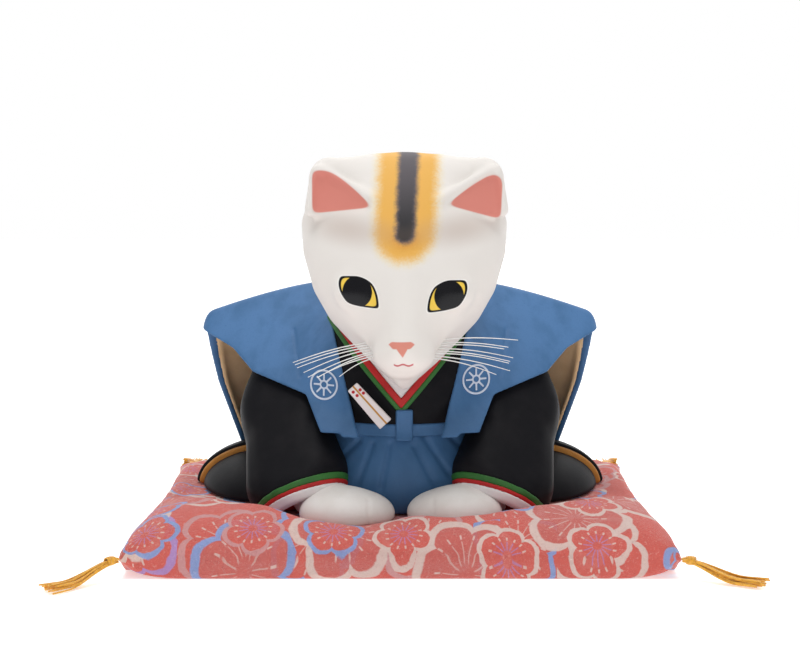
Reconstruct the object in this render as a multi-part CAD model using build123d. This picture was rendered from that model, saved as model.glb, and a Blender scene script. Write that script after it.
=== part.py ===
from build123d import *
from math import cos, pi, sin
import os

# A ceramic cat in formal dress that bows on a square floor cushion.
# Millimetres. +Z is up, the cat faces -Y, and the origin is the middle of the
# cushion's underside. Left and right are as seen from the front: left is -X.

# ---- cushion -------------------------------------------------------------
cushion_side = 184.0          # seam tip to seam tip
side_pull = 5.5               # how far a side draws in between its tips
cushion_crest = 19.0          # top of the roll round the figure
seam_height = 6.5             # height of the seam that joins top and bottom
bottom_inset = 18.0           # flat underside, in from the seam
crest_inset = 20.0            # crest of the roll, in from the seam
cover_thickness = 0.8
seat_height = 12.0            # top of the cushion where the figure presses it
seat_slope_run = 9.0          # how far the dished edge of the seat runs out
seat_margin = 1.0             # flat of the seat round the figure
seat_corner = 30.0
seat_clearance = 0.3          # between the cushion and anything that lifts off

# ---- tassels -------------------------------------------------------------
tassel_length = 27.0
tassel_root_radius = 1.0
tassel_end_radius = 2.6
knot_radius = 2.1
tassel_turns = {              # direction of each bundle in plan, degrees
    "front_left": 223.0,
    "front_right": 337.0,
    "back_left": 84.0,
    "back_right": 96.0,
}

# ---- figure: hollow body -------------------------------------------------
ceramic_wall = 3.5
vent_radius = 6.0             # hole in the base that vents the hollow casting
neck_radius = 11.0            # tube that joins the head to the trunk
neck_length = 26.0
waist_height = 42.0
hip_width = 112.0
hip_front = 47.0              # from the origin's plane forward
hip_back = 62.0
waist_width = 90.0
waist_front = 41.0
waist_back = 47.0
shoulder_height = 86.0

# ---- figure: vest --------------------------------------------------------
wing_span = 145.0
wing_height = 78.0            # height of the wing tips
wing_neck_width = 52.0        # across the tops of the wings, beside the neck
vest_thickness = 3.0
vest_gap = 0.4                # between the vest and the body inside it
vest_hem_height = 22.0
vest_hem_width = 134.0
vest_side_y = 35.0            # where the back panel's side edge meets the hem
ridge_y = 5.0                 # the fold over the shoulders, front from back
lapel_width = 19.0

# ---- figure: head --------------------------------------------------------
head_width = 72.0
head_length = 90.0            # crown to chin, along the bowed axis
head_depth = 56.0
head_wall = 3.5
head_center = (1.5, -42.0, 98.0)
head_axis = (0.0, 0.6, 0.8)   # from the chin to the crown
ear_length = 25.0
ear_root_radius = 13.0
ear_tip_radius = 3.0
ear_wall = 2.6
whisker_radius = 0.25
whisker_length = 27.0
whiskers_per_side = 8
whisker_top_turn = 2.0        # slope of the highest bristle, degrees
whisker_spread = 26.0         # from the highest to the lowest bristle, degrees

# ---- figure: arms --------------------------------------------------------
shoulder_point = (48.0, 0.0, 63.0)
wrist_point = (34.5, -43.0, 25.0)
sleeve_top_radius = 17.0
sleeve_mouth_width = 35.0
sleeve_mouth_depth = 21.0
sleeve_mouth_lean = -0.42     # fall of the mouth's long side, outwards from the midline
cuff_bands = {"green": 2.2, "red": 1.5, "white": 2.4}
paw_width = 32.0
paw_length = 27.0
paw_height = 13.5
paw_into_cuff = 9.0           # how far the paw runs back inside the cuff
paw_center = (18.0, -56.0)
pouch_width = 50.0            # the hanging part of each sleeve, on the cushion
pouch_length = 72.0
pouch_height = 19.0
pouch_outer_x = 76.0
pouch_front_y = -24.0
trim_width = 2.2
trim_step = 1.6               # each layer stands this far inside the next

# ---- figure: relief on the chest -------------------------------------------
kimono_relief = 0.9
collar_relief = 1.8
belt_relief = 2.4
tie_relief = 3.2
collar_white = 2.2
collar_red = 2.6
collar_green = 2.2
collar_point_height = 49.0    # where the red band comes to its point
collar_spread = 23.0
collar_top_height = 76.0
belt_width = 9.0
tie_width = 7.0
fan_size = (6.0, 2.4, 17.5)
fan_middle = (-11.5, -47.5, 51.5)
fan_width_direction = (1.0, 0.1, 0.62)
fan_length_direction = (-0.58, -0.22, 0.80)
neck_wall = 3.0

figure_floor = seat_height + seat_clearance
SIDES = {"left": -1, "right": 1}


def closed_section(height, half_width, front, back, plane=Plane.XY, count=16):
    """A smooth closed section from -half_width to half_width and front to back."""
    middle = (front + back) / 2
    half_depth = (back - front) / 2
    points = []
    for step in range(count):
        angle = 2 * pi * step / count
        local = (half_width * cos(angle), middle + half_depth * sin(angle), height)
        points.append(plane.from_local_coords(local))
    return make_face(Spline(*points, periodic=True))


def lofted(sections, inset=0.0, plane=Plane.XY):
    """A solid through (height, half width, front, back) sections, all inset."""
    faces = []
    for height, half_width, front, back in sections:
        faces.append(closed_section(height, half_width - inset, front + inset, back - inset, plane))
    return loft(faces)


def mirrored(solid, side):
    """The solid for one side, from its shape at the right."""
    return solid if side > 0 else mirror(solid, about=Plane.YZ)


def above(height):
    """A block that holds everything above a height."""
    block_size = 400.0
    return Pos(0, 0, height + block_size / 2) * Box(block_size, block_size, block_size)


def behind(distance):
    """A block that holds everything with Y over a distance."""
    block_size = 400.0
    return Pos(0, distance + block_size / 2, 0) * Box(block_size, block_size, block_size)


def front_prism(points, depth=120.0):
    """A prism forward from the shoulder ridge, from an outline in X and Z."""
    outline = Plane.XZ.offset(-ridge_y) * make_face(Polyline(*points, close=True))
    return extrude(outline, amount=depth)


# ---- the cushion -----------------------------------------------------------

def pillow_section(inset, height):
    """A square whose sides draw in between its corners."""
    half = cushion_side / 2 - inset
    draw = half - side_pull
    corners = [(-half, -half), (half, -half), (half, half), (-half, half)]
    middles = [(0, -draw), (draw, 0), (0, draw), (-draw, 0)]
    arcs = []
    for index, corner in enumerate(corners):
        following = corners[(index + 1) % 4]
        arcs.append(ThreePointArc(corner, middles[index], following))
    return Pos(0, 0, height) * make_face(Curve() + arcs)


def seat_hollow(skin):
    """The dish that the figure presses into the top, taken in by a skin."""
    gap = seat_clearance + seat_margin
    half_width = pouch_outer_x + gap
    front = paw_center[1] - paw_length / 2 - gap
    back = hip_back + vest_thickness + gap
    faces = []
    for height, spread in ((seat_height - skin, 0.0), (cushion_crest + 1.0, seat_slope_run)):
        width = 2 * (half_width + spread + skin)
        length = back - front + 2 * (spread + skin)
        outline = RectangleRounded(width, length, seat_corner + spread)
        faces.append(Pos(0, (front + back) / 2, height) * outline)
    return loft(faces)


def pillow(skin=0.0):
    """The whole cushion, or its filling when taken in by the cover's thickness."""
    faces = []
    for share in (0.0, 0.25, 0.6, 1.0):
        inset = bottom_inset * (1 - share ** 0.5)
        faces.append(pillow_section(inset + skin, skin + (seam_height - skin) * share))
    top = cushion_crest - skin
    for share in (0.3, 0.6, 0.85, 1.0):
        inset = crest_inset * (1 - (1 - share ** 2) ** 0.5)
        faces.append(pillow_section(inset + skin, seam_height + (top - seam_height) * share))
    return loft(faces, ruled=True) - seat_hollow(skin)


def make_tassel(corner, angle):
    """A knot at a corner of the cushion with a bundle of threads from it."""
    x_sign = -1 if "left" in corner else 1
    y_sign = -1 if "front" in corner else 1
    reach = cushion_side / 2 + knot_radius * 0.4
    knot_center = Vector(x_sign * reach, y_sign * reach, seam_height)
    run = Vector(cos(angle * pi / 180), sin(angle * pi / 180), 0) * tassel_length
    drop = seam_height - tassel_end_radius - 0.1
    direction = run - Vector(0, 0, drop)
    start = Plane(origin=knot_center, z_dir=direction)
    bundle = start * Cone(
        tassel_root_radius, tassel_end_radius, tassel_length,
        align=(Align.CENTER, Align.CENTER, Align.MIN),
    )
    knot = Pos(*knot_center) * Sphere(knot_radius)
    return knot + bundle


# ---- the hollow body -------------------------------------------------------

def hakama_sections():
    half_hip = hip_width / 2
    half_waist = waist_width / 2
    rise = waist_height - figure_floor
    return [
        (figure_floor, half_hip - 2, -hip_front + 2, hip_back - 2),
        (figure_floor + rise * 0.3, half_hip, -hip_front, hip_back),
        (figure_floor + rise * 0.7, (half_hip + half_waist) / 2, -(hip_front + waist_front) / 2,
         (hip_back + waist_back) / 2 + 1),
        (waist_height, half_waist, -waist_front, waist_back),
    ]


def trunk_sections():
    half_waist = waist_width / 2
    rise = shoulder_height - waist_height
    return [
        (waist_height, half_waist, -waist_front, waist_back),
        (waist_height + rise * 0.25, half_waist - 1, -waist_front - 2, waist_back - 4),
        (waist_height + rise * 0.5, half_waist - 5, -waist_front + 4, waist_back - 13),
        (waist_height + rise * 0.78, half_waist - 11, -waist_front + 14, waist_back - 24),
        (shoulder_height, half_waist - 24, -waist_front + 27, waist_back - 32),
    ]


def head_sections(shorten=0.0):
    """Sections along the bowed axis, from the chin to the crown."""
    half = head_width / 2
    low = -head_length / 2 + shorten
    high = head_length / 2 - shorten
    front = -head_depth * 0.45
    back = head_depth * 0.55
    return [
        (low, half * 0.16, front * 0.28, back * 0.07),
        (low * 0.92, half * 0.34, front * 0.48, back * 0.30),
        (low * 0.75, half * 0.56, front * 0.62, back * 0.60),
        (low * 0.48, half * 0.80, front * 0.77, back * 0.87),
        (low * 0.13, half * 0.97, front * 0.94, back),
        (high * 0.27, half, front, back * 0.97),
        (high * 0.67, half * 0.86, front * 0.78, back * 0.72),
        (high * 0.90, half * 0.56, front * 0.49, back * 0.45),
        (high, half * 0.20, front * 0.22, back * 0.20),
    ]


def head_plane():
    return Plane(origin=head_center, x_dir=(1, 0, 0), z_dir=head_axis)


def neck_cylinder(radius, reach):
    """A cylinder from inside the trunk to inside the head."""
    start = Vector(0, -8, waist_height + 28)
    middle = Vector(*head_center)
    along = Vector(0, middle.Y - start.Y, middle.Z - start.Z).normalized()
    place = Plane(origin=start, z_dir=along)
    return place * Cylinder(radius, reach, align=(Align.CENTER, Align.CENTER, Align.MIN))


def make_ear(side, head_outer):
    """A rounded cone on a top corner of the head, scooped out in front."""
    root = Vector(head_width * 0.31, -head_depth * 0.11, head_length * 0.15)
    tip = Vector(head_width * 0.43, -head_depth * 0.40, head_length * 0.33)
    stand = head_plane() * Plane(origin=root, x_dir=(1, 0, 0), z_dir=tip - root)
    cone_align = (Align.CENTER, Align.CENTER, Align.MIN)
    outer = stand * Cone(ear_root_radius, ear_tip_radius, ear_length, align=cone_align)
    scoop = stand * Pos(0, -ear_root_radius * 0.6, 0) * Cone(
        ear_root_radius - ear_wall, ear_tip_radius * 0.3, ear_length * 0.85, align=cone_align
    )
    ear = outer - scoop
    if side < 0:
        ear = mirror(ear, about=Plane.YZ.offset(head_center[0]))
    return ear - head_outer


def make_whiskers(side, head_outer):
    """Bristles set in the muzzle, fanned out to one side."""
    bristles = Part()
    frame = head_plane()
    root = Vector(side * head_width * 0.12, -head_depth * 0.17, -head_length * 0.37)
    for index in range(whiskers_per_side):
        share = index / (whiskers_per_side - 1)
        start = root + Vector(side * (3.0 - 2.0 * share), 0, 5.0 - 7.0 * share)
        turn = whisker_top_turn - whisker_spread * share
        direction = Vector(side, -0.12, sin(turn * pi / 180) + 0.05)
        place = frame * Plane(origin=start, z_dir=direction)
        bristles += place * Cylinder(
            whisker_radius, whisker_length, align=(Align.CENTER, Align.CENTER, Align.MIN)
        )
    return bristles - head_outer


# ---- the vest --------------------------------------------------------------

def vest_sections(end_run=0.0):
    """The inside of the vest: clear of the body, and wide at the shoulders."""
    half_span = wing_span / 2 - vest_thickness
    half_hem = vest_hem_width / 2 - vest_thickness
    sections = [
        (vest_hem_height - end_run, half_hem, -hip_front - vest_gap, hip_back + vest_gap + 1),
    ]
    lower = hakama_sections()[2]
    sections.append((lower[0], half_hem + 1, lower[2] - vest_gap, lower[3] + vest_gap))
    top_half = wing_neck_width / 2
    widths = [(half_span + half_hem) / 2, half_span - 1, half_span, half_span, top_half]
    for (height, _, front, back), half_width in zip(trunk_sections(), widths):
        rise = end_run if height == shoulder_height else 0.0
        sections.append((height + rise, half_width, front - vest_gap, back + vest_gap))
    return sections


def make_vest():
    """Back and two front panels of the stiff vest, cut from one tent over the body."""
    tent = lofted(vest_sections(), -vest_thickness)
    inside = lofted(vest_sections(1.0))
    top = shoulder_height + 10
    reach = wing_span
    low = vest_hem_height - 5
    hem_run = (vest_side_y - ridge_y) / (wing_height - vest_hem_height) * 5
    back_outline = Polyline(
        (0, ridge_y, top), (0, ridge_y, wing_height), (0, vest_side_y + hem_run, low),
        (0, reach, low), (0, reach, top), close=True,
    )
    back_half = extrude(make_face(back_outline), amount=reach, both=True)
    panels = {"vest_back": (tent & back_half) - inside}
    wing_edge = wing_span / 2 + 5
    front_outline = [
        (collar_spread - 6, top),
        (wing_edge, top),
        (wing_edge, wing_height - 3),
        (wing_span / 2 - 19, wing_height - 19),
        (lapel_width + collar_spread - 8, wing_height - 25),
        (lapel_width + 9, waist_height),
        (lapel_width - 5, waist_height),
        (collar_spread, collar_top_height),
    ]
    for name, side in SIDES.items():
        outline = [(side * x, z) for x, z in front_outline]
        panels["vest_front_" + name] = (tent & front_prism(outline)) - inside
    return panels


# ---- the arms --------------------------------------------------------------

def arm_plane(distance):
    """A plane across the right arm, this far from the wrist towards the paw."""
    shoulder = Vector(*shoulder_point)
    wrist = Vector(*wrist_point)
    along = (wrist - shoulder).normalized()
    return Plane(origin=wrist + along * distance, x_dir=(1, 0, sleeve_mouth_lean), z_dir=along)


def mouth_section(distance, flare):
    """The sleeve's oval mouth, this far past the wrist and this much wider."""
    oval = Ellipse(sleeve_mouth_width / 2 + flare, sleeve_mouth_depth / 2 + flare)
    return arm_plane(distance) * oval


def make_sleeve():
    """The right upper sleeve, from the shoulder to the cuff."""
    arm_length = (Vector(*shoulder_point) - Vector(*wrist_point)).length
    top = arm_plane(-arm_length) * Ellipse(sleeve_top_radius + 0.5, sleeve_top_radius)
    return loft([top, mouth_section(0, 0)])


def make_cuffs():
    """Three bands at the right sleeve's mouth, from the sleeve to the paw."""
    bands = {}
    start = 0.0
    for color, width in cuff_bands.items():
        bands[color] = loft([mouth_section(start, 0.1), mouth_section(start + width, 0.5)])
        start += width
    return bands


def make_paw():
    """The right forepaw, flat on the cushion, long enough to enter the cuff."""
    steps = 6
    faces = []
    back = paw_length / 2 + paw_into_cuff
    front = paw_length / 2
    for step in range(steps + 1):
        turn = pi / 2 * step / steps
        lift = paw_height * sin(turn)
        reach = max(cos(turn), 0.02) + 0.12
        faces.append(closed_section(
            figure_floor + lift, paw_width / 2 * reach, -front * reach, back * reach,
        ))
    return Pos(*paw_center) * loft(faces)


def pouch_sections(step_in):
    """Half-round heights of the sleeve's hanging part, taken in by its layers."""
    sections = []
    center = pouch_length / 2
    for share in (0.0, 0.35, 0.65, 0.87, 0.98):
        reach = (1 - share ** 2) ** 0.5
        height = figure_floor + (pouch_height - step_in) * share
        sections.append((height, (pouch_width / 2 - step_in) * reach,
                         -center * reach, center * reach))
    return sections


def make_pouch():
    """The right sleeve's hanging part: an outer fold, its lining edge and an inner fold."""
    outer_x = pouch_outer_x - pouch_width / 2
    middle_y = pouch_front_y + pouch_length / 2
    place = Pos(outer_x, middle_y, 0)
    outer = place * lofted(pouch_sections(0))
    lining = place * lofted(pouch_sections(trim_step))
    inner = place * lofted(pouch_sections(2 * trim_step))
    lining_start = middle_y - trim_width
    return {
        "pouch": outer & behind(middle_y),
        "lining": (lining & behind(lining_start)) - behind(middle_y),
        "fold": inner - behind(lining_start),
    }


# ---- relief on the chest -----------------------------------------------------

def collar_outline(drop, width):
    """A V band whose arms fall from the shoulders to a point on the midline."""
    slope = (collar_top_height - collar_point_height) / collar_spread
    point = collar_point_height - drop
    spread = (collar_top_height - point) / slope
    inner_spread = spread - width / slope
    return [
        (-spread, collar_top_height), (0, point), (spread, collar_top_height),
        (inner_spread, collar_top_height), (0, point + width), (-inner_spread, collar_top_height),
    ]


def relief(outline, thickness, body, fittings):
    """A layer on the front of the body, inside an outline, cut round its fittings."""
    skin = lofted(trunk_sections(), -thickness) + lofted(hakama_sections(), -thickness)
    layer = front_prism(outline) & skin
    for solid in body + fittings:
        layer = layer - solid
    return layer


def make_chest(body, lapels):
    """The dressed chest: collar bands, the kimono's two sides, belt and tie."""
    belt_low = waist_height - belt_width / 2
    belt_high = waist_height + belt_width / 2
    half_tie = tie_width / 2
    half_belt = collar_spread - 5
    tie_top = collar_point_height - collar_green - 1
    chest = {
        "tie": relief(
            [(-half_tie, belt_low - 2), (half_tie, belt_low - 2), (half_tie, tie_top),
             (-half_tie, tie_top)], tie_relief, body, lapels,
        ),
    }
    chest["belt"] = relief(
        [(-half_belt, belt_low), (half_belt, belt_low), (half_belt, belt_high),
         (-half_belt, belt_high)], belt_relief, body, lapels + [chest["tie"]],
    )
    drops = {
        "collar_white": (-collar_red, collar_white),
        "collar_red": (0, collar_red),
        "collar_green": (collar_green, collar_green),
    }
    for name, (drop, width) in drops.items():
        chest[name] = relief(collar_outline(drop, width), collar_relief, body, lapels)
    slope = (collar_top_height - collar_point_height) / collar_spread
    for name, side in SIDES.items():
        kimono = [
            (side * half_tie, belt_high), (side * collar_spread, belt_high),
            (side * collar_spread, collar_top_height - collar_green),
            (side * half_tie, collar_point_height - collar_green + half_tie * slope),
        ]
        chest["kimono_" + name] = relief(
            kimono, kimono_relief, body, lapels + [chest["tie"], chest["collar_green"]],
        )
    return chest


def make_fan(chest):
    """A folded fan tucked into the left of the collar, lying on the chest."""
    lean = Plane(origin=fan_middle, x_dir=fan_width_direction, z_dir=fan_length_direction)
    fan = lean * Box(*fan_size)
    for solid in chest:
        fan = fan - solid
    return fan


def main():
    """Every sub-part by name, the castings first so that the rest is cut to fit them."""
    pieces = {}
    cushion = pillow()
    filling = pillow(cover_thickness)
    pieces["cushion_cover"] = cushion - filling
    pieces["cushion_filling"] = filling
    for corner, angle in tassel_turns.items():
        pieces["tassel_" + corner] = make_tassel(corner, angle) - cushion

    hakama = lofted(hakama_sections())
    head = lofted(head_sections(), plane=head_plane())
    trunk = lofted(trunk_sections()) - head
    neck = neck_cylinder(neck_radius, neck_length)
    neck_inside = neck_cylinder(neck_radius - neck_wall, neck_length)
    vent = Cylinder(vent_radius, 2 * (figure_floor + ceramic_wall))
    hakama_hollow = lofted(hakama_sections(), ceramic_wall) & above(figure_floor + ceramic_wall)
    trunk_hollow = lofted(trunk_sections(), ceramic_wall) - above(shoulder_height - ceramic_wall)
    head_hollow = lofted(head_sections(2 * head_wall), head_wall, head_plane())
    pieces["hakama_shell"] = hakama - hakama_hollow - vent
    pieces["trunk_shell"] = trunk - trunk_hollow - neck
    pieces["head_shell"] = head - head_hollow - neck
    pieces["neck_tube"] = neck - neck_inside

    vest = make_vest()
    vest["vest_back"] = vest["vest_back"] - hakama - trunk
    for name in SIDES:
        vest["vest_front_" + name] = vest["vest_front_" + name] - head
    pieces.update(vest)
    lapels = [vest["vest_front_left"], vest["vest_front_right"]]
    chest = make_chest([trunk, hakama, head], lapels)
    pieces.update(chest)
    pieces["fan"] = make_fan([trunk, hakama, head, *lapels, *chest.values()])

    body = [hakama, trunk, vest["vest_back"]]
    for name, side in SIDES.items():
        pieces["ear_" + name] = make_ear(side, head)
        pieces["whiskers_" + name] = make_whiskers(side, head)
        arm = {"sleeve": make_sleeve()}
        for color, band in make_cuffs().items():
            arm["cuff_" + color] = band
        arm["paw"] = make_paw()
        for layer, solid in make_pouch().items():
            arm["sleeve_" + layer] = solid
        fitted = body + [vest["vest_front_" + name]]
        for node, solid in arm.items():
            solid = mirrored(solid, side) & above(figure_floor)
            for neighbour in fitted:
                solid = solid - neighbour
            pieces[node + "_" + name] = solid
            fitted.append(solid)
    return pieces


if __name__ == "__main__":
    os.makedirs("parts", exist_ok=True)
    for node, solid in main().items():
        export_step(solid, f"parts/{node}.step")
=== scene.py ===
import math
import random

import bmesh
import bpy
import numpy as np
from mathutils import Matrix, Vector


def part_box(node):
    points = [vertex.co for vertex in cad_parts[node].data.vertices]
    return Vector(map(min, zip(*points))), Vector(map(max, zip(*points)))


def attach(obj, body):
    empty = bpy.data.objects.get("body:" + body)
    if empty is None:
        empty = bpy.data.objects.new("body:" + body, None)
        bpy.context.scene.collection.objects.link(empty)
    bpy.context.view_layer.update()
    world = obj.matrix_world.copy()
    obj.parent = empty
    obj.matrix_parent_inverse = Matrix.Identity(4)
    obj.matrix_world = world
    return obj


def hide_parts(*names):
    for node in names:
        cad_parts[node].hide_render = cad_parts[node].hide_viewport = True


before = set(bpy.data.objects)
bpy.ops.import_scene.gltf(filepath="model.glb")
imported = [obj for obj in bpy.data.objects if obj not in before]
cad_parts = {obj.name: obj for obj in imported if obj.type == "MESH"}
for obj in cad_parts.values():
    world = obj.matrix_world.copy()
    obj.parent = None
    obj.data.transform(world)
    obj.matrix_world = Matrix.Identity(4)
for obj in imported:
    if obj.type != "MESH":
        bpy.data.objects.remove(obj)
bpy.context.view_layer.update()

import openvdb
from mathutils import Vector

# A ceramic cat that bows on a floor cushion. Shapes are worked out in millimetres,
# as distance fields that are negative inside, and written as meshes in metres.
MM = 0.001
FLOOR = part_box("hakama_shell")[0][2] / MM       # what the figure stands on
CRUMB = 0.02                                    # smaller islands, as a share of the largest, go
random.seed(7)


# ---- distance fields -------------------------------------------------------

def grid(low, high, step):
    axes = [np.arange(a, b + step, step, dtype=np.float32) for a, b in zip(low, high)]
    return np.meshgrid(*axes, indexing="ij", sparse=True)


def ellipsoid(p, center, radii):
    q = [(a - c) / r for a, c, r in zip(p, center, radii)]
    k0 = np.sqrt(q[0] ** 2 + q[1] ** 2 + q[2] ** 2)
    k1 = np.sqrt(sum((a / r) ** 2 for a, r in zip(q, radii)))
    return k0 * (k0 - 1) / np.maximum(k1, 1e-6)


def round_cone(p, start, end, r_start, r_end):
    along = [b - a for a, b in zip(start, end)]
    length2 = sum(a * a for a in along)
    rel = [a - s for a, s in zip(p, start)]
    h = np.clip(sum(a * b for a, b in zip(rel, along)) / length2, 0, 1)
    away = np.sqrt(sum((r - a * h) ** 2 for r, a in zip(rel, along)))
    return away - (r_start + (r_end - r_start) * h)


def triangle(p, a, b, c):
    """Distance to a flat triangle in space."""
    a, b, c = (np.array(v, dtype=np.float32) for v in (a, b, c))
    normal = np.cross(b - a, a - c)

    def clamp_dot(edge, q):
        h = np.clip(sum(e * w for e, w in zip(edge, q)) / float(edge @ edge), 0, 1)
        return sum((e * h - w) ** 2 for e, w in zip(edge, q))

    inside = 0
    edges = []
    for start, end in ((a, b), (b, c), (c, a)):
        edge = end - start
        q = [w - s for w, s in zip(p, start)]
        side = np.cross(edge, normal)
        inside = inside + np.sign(sum(s * w for s, w in zip(side, q)))
        edges.append(clamp_dot(edge, q))
    rim = np.minimum(np.minimum(edges[0], edges[1]), edges[2])
    face = sum(n * (w - s) for n, w, s in zip(normal, p, a)) ** 2 / float(normal @ normal)
    return np.sqrt(np.where(inside < 2, rim, face))


def smin(a, b, k):
    h = np.maximum(k - np.abs(a - b), 0) / k
    return np.minimum(a, b) - h * h * k / 4


def smax(a, b, k):
    return -smin(-a, -b, k)


def segment_xz(p, start, end):
    """Distance in the front view from a line between two points."""
    dx, dz = end[0] - start[0], end[1] - start[1]
    rx, rz = p[0] - start[0], p[2] - start[1]
    h = np.clip((rx * dx + rz * dz) / (dx * dx + dz * dz), 0, 1)
    return np.sqrt((rx - dx * h) ** 2 + (rz - dz * h) ** 2)


def step_up(value, low, high):
    t = np.clip((value - low) / (high - low), 0, 1)
    return t * t * (3 - 2 * t)


def linked(name, data):
    obj = bpy.data.objects.new(name, data)
    bpy.context.scene.collection.objects.link(obj)
    return obj


def mesh_object(name, points, faces, material):
    mesh = bpy.data.meshes.new(name)
    mesh.from_pydata([tuple(v) for v in points], [], [tuple(f) for f in faces])
    mesh.update()
    obj = linked(name, mesh)
    mesh.materials.append(material)
    mesh.polygons.foreach_set("use_smooth", [True] * len(mesh.polygons))
    return obj


def solid(name, field, low, high, step, material, replaces=(), body="figure"):
    """The surface of a distance field as one closed mesh that rides on a body."""
    p = grid(low, high, step)
    whole = np.broadcast_to(field(p), [a.size for a in p])
    values = np.ascontiguousarray(whole.astype(np.float32))
    for axis in range(3):
        edge = [slice(None)] * 3
        for end in (0, -1):
            edge[axis] = end
            values[tuple(edge)] = np.maximum(values[tuple(edge)], step * 0.5)
    volume = openvdb.FloatGrid(float(step * 3))
    volume.copyFromArray(values)
    points, quads = volume.convertToQuads(0.0)
    points = (points * step + np.array(low)) * MM
    obj = mesh_object(name, points, quads[:, ::-1], material)
    fix_outward(obj)
    finish_piece(obj, replaces, body)
    return obj


def fix_outward(obj):
    """Drops crumbs and turns the faces outward."""
    bm = bmesh.new()
    bm.from_mesh(obj.data)
    seen = set()
    islands = []
    for vert in bm.verts:
        if vert.index in seen:
            continue
        stack = [vert]
        seen.add(vert.index)
        island = []
        while stack:
            here = stack.pop()
            island.append(here)
            for edge in here.link_edges:
                other = edge.other_vert(here)
                if other.index not in seen:
                    seen.add(other.index)
                    stack.append(other)
        islands.append(island)
    largest = max(len(island) for island in islands)
    crumbs = [v for island in islands if len(island) < largest * CRUMB for v in island]
    if crumbs:
        bmesh.ops.delete(bm, geom=crumbs, context="VERTS")
    if bm.calc_volume(signed=True) < 0:
        bmesh.ops.reverse_faces(bm, faces=bm.faces)
    bm.to_mesh(obj.data)
    bm.free()


def finish_piece(obj, replaces=(), body="figure"):
    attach(obj, body)
    if replaces:
        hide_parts(*replaces)


# ---- node maths for materials ------------------------------------------------

class Value:
    """A number in a material, with plain arithmetic between such numbers."""

    def __init__(self, tree, socket):
        self.tree = tree
        self.socket = socket

    def math(self, operation, *others):
        node = self.tree.nodes.new("ShaderNodeMath")
        node.operation = operation
        for index, value in enumerate((self, *others)):
            if isinstance(value, Value):
                self.tree.links.new(value.socket, node.inputs[index])
            else:
                node.inputs[index].default_value = value
        return Value(self.tree, node.outputs[0])

    def __add__(self, other):
        return self.math("ADD", other)

    def __sub__(self, other):
        return self.math("SUBTRACT", other)

    def __mul__(self, other):
        return self.math("MULTIPLY", other)

    def __truediv__(self, other):
        return self.math("DIVIDE", other)

    def power(self, other):
        return self.math("POWER", other)

    def least(self, other, blend=0.0):
        return self.math("SMOOTH_MIN", other, blend) if blend else self.math("MINIMUM", other)

    def most(self, other):
        return self.math("MAXIMUM", other)

    def size(self):
        return self.math("ABSOLUTE")

    def root(self):
        return self.math("SQRT")

    def ramp(self, low, high):
        """0 below low and 1 above high, smooth between."""
        node = self.tree.nodes.new("ShaderNodeMapRange")
        node.interpolation_type = "SMOOTHSTEP"
        self.tree.links.new(self.socket, node.inputs[0])
        node.inputs[1].default_value = low
        node.inputs[2].default_value = high
        return Value(self.tree, node.outputs[0])

    def inverse(self):
        node = self.tree.nodes.new("ShaderNodeMath")
        node.operation = "SUBTRACT"
        node.inputs[0].default_value = 1.0
        self.tree.links.new(self.socket, node.inputs[1])
        return Value(self.tree, node.outputs[0])


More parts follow.
